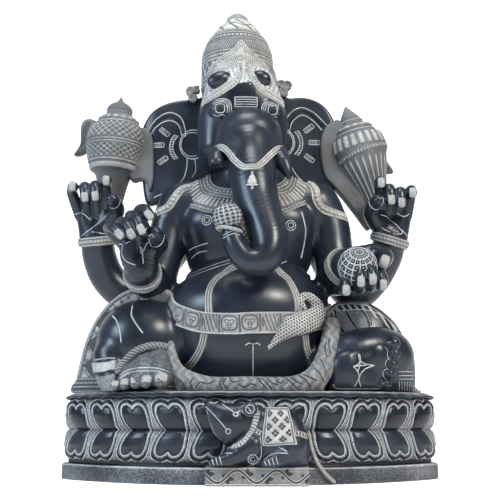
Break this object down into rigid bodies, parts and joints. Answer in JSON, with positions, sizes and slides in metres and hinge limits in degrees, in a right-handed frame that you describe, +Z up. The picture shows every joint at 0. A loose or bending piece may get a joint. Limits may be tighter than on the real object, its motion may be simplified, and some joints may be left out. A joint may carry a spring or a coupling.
{
  "type": "ganesha idol",
  "caption": "Seated four-armed elephant-headed idol in carved black granite, holding two conches, on a double lotus pedestal with a mouse in front.",
  "frame": {"origin": "middle of the flat underside of the pedestal", "axes": "+Z up, the idol faces -Y, its right side on -X"},
  "size_m": [0.912, 0.5495, 1.22],
  "materials": {
    "polished_granite": "polished",
    "chiselled_granite": "chiselled",
    "pale_granite": "rubbed chisel marks"
  },
  "bodies": {
    "root": {"base_plinth": "chiselled_granite", "lower_lotus_course": "polished_granite", "upper_lotus_course": "polished_granite", "seat_slab": "pale_granite", "mouse_ledge": "chiselled_granite", "mouse": "polished_granite", "mouse_saddle_cloth": "pale_granite", "mouse_tail": "pale_granite", "seat_cloth": "chiselled_granite", "right_thigh_drape": "chiselled_granite", "left_thigh_drape": "chiselled_granite", "right_leg": "polished_granite", "left_leg": "polished_granite", "right_foot": "polished_granite", "left_foot": "polished_granite", "right_anklet": "pale_granite", "left_anklet": "pale_granite", "belly": "polished_granite", "waist_band": "chiselled_granite", "belly_straps": "pale_granite", "snake_belt": "chiselled_granite", "chest": "polished_granite", "necklace": "chiselled_granite", "head": "polished_granite", "right_ear": "polished_granite", "left_ear": "polished_granite", "right_ear_flower": "chiselled_granite", "left_ear_flower": "chiselled_granite", "trunk": "polished_granite", "trunk_sweet": "pale_granite", "trunk_tassel": "pale_granite", "trunk_bell": "pale_granite", "broken_tusk": "polished_granite", "full_tusk": "polished_granite", "crown_band": "chiselled_granite", "crown_plaque": "pale_granite", "crown_dome": "chiselled_granite", "crown_bead_tier": "chiselled_granite", "crown_top_rings": "pale_granite", "crown_finial": "chiselled_granite", "right_front_arm": "polished_granite", "left_front_arm": "polished_granite", "right_rear_arm": "polished_granite", "left_rear_arm": "polished_granite", "right_front_hand": "polished_granite", "left_front_hand": "polished_granite", "right_rear_hand": "polished_granite", "left_rear_hand": "polished_granite", "right_front_bracelet": "pale_granite", "left_front_bracelet": "pale_granite", "right_rear_bracelet": "pale_granite", "left_rear_bracelet": "pale_granite", "right_armlet": "pale_granite", "left_armlet": "pale_granite", "right_conch": "chiselled_granite", "left_conch": "chiselled_granite", "sweet_ball": "pale_granite"}
  },
  "joints": []
}
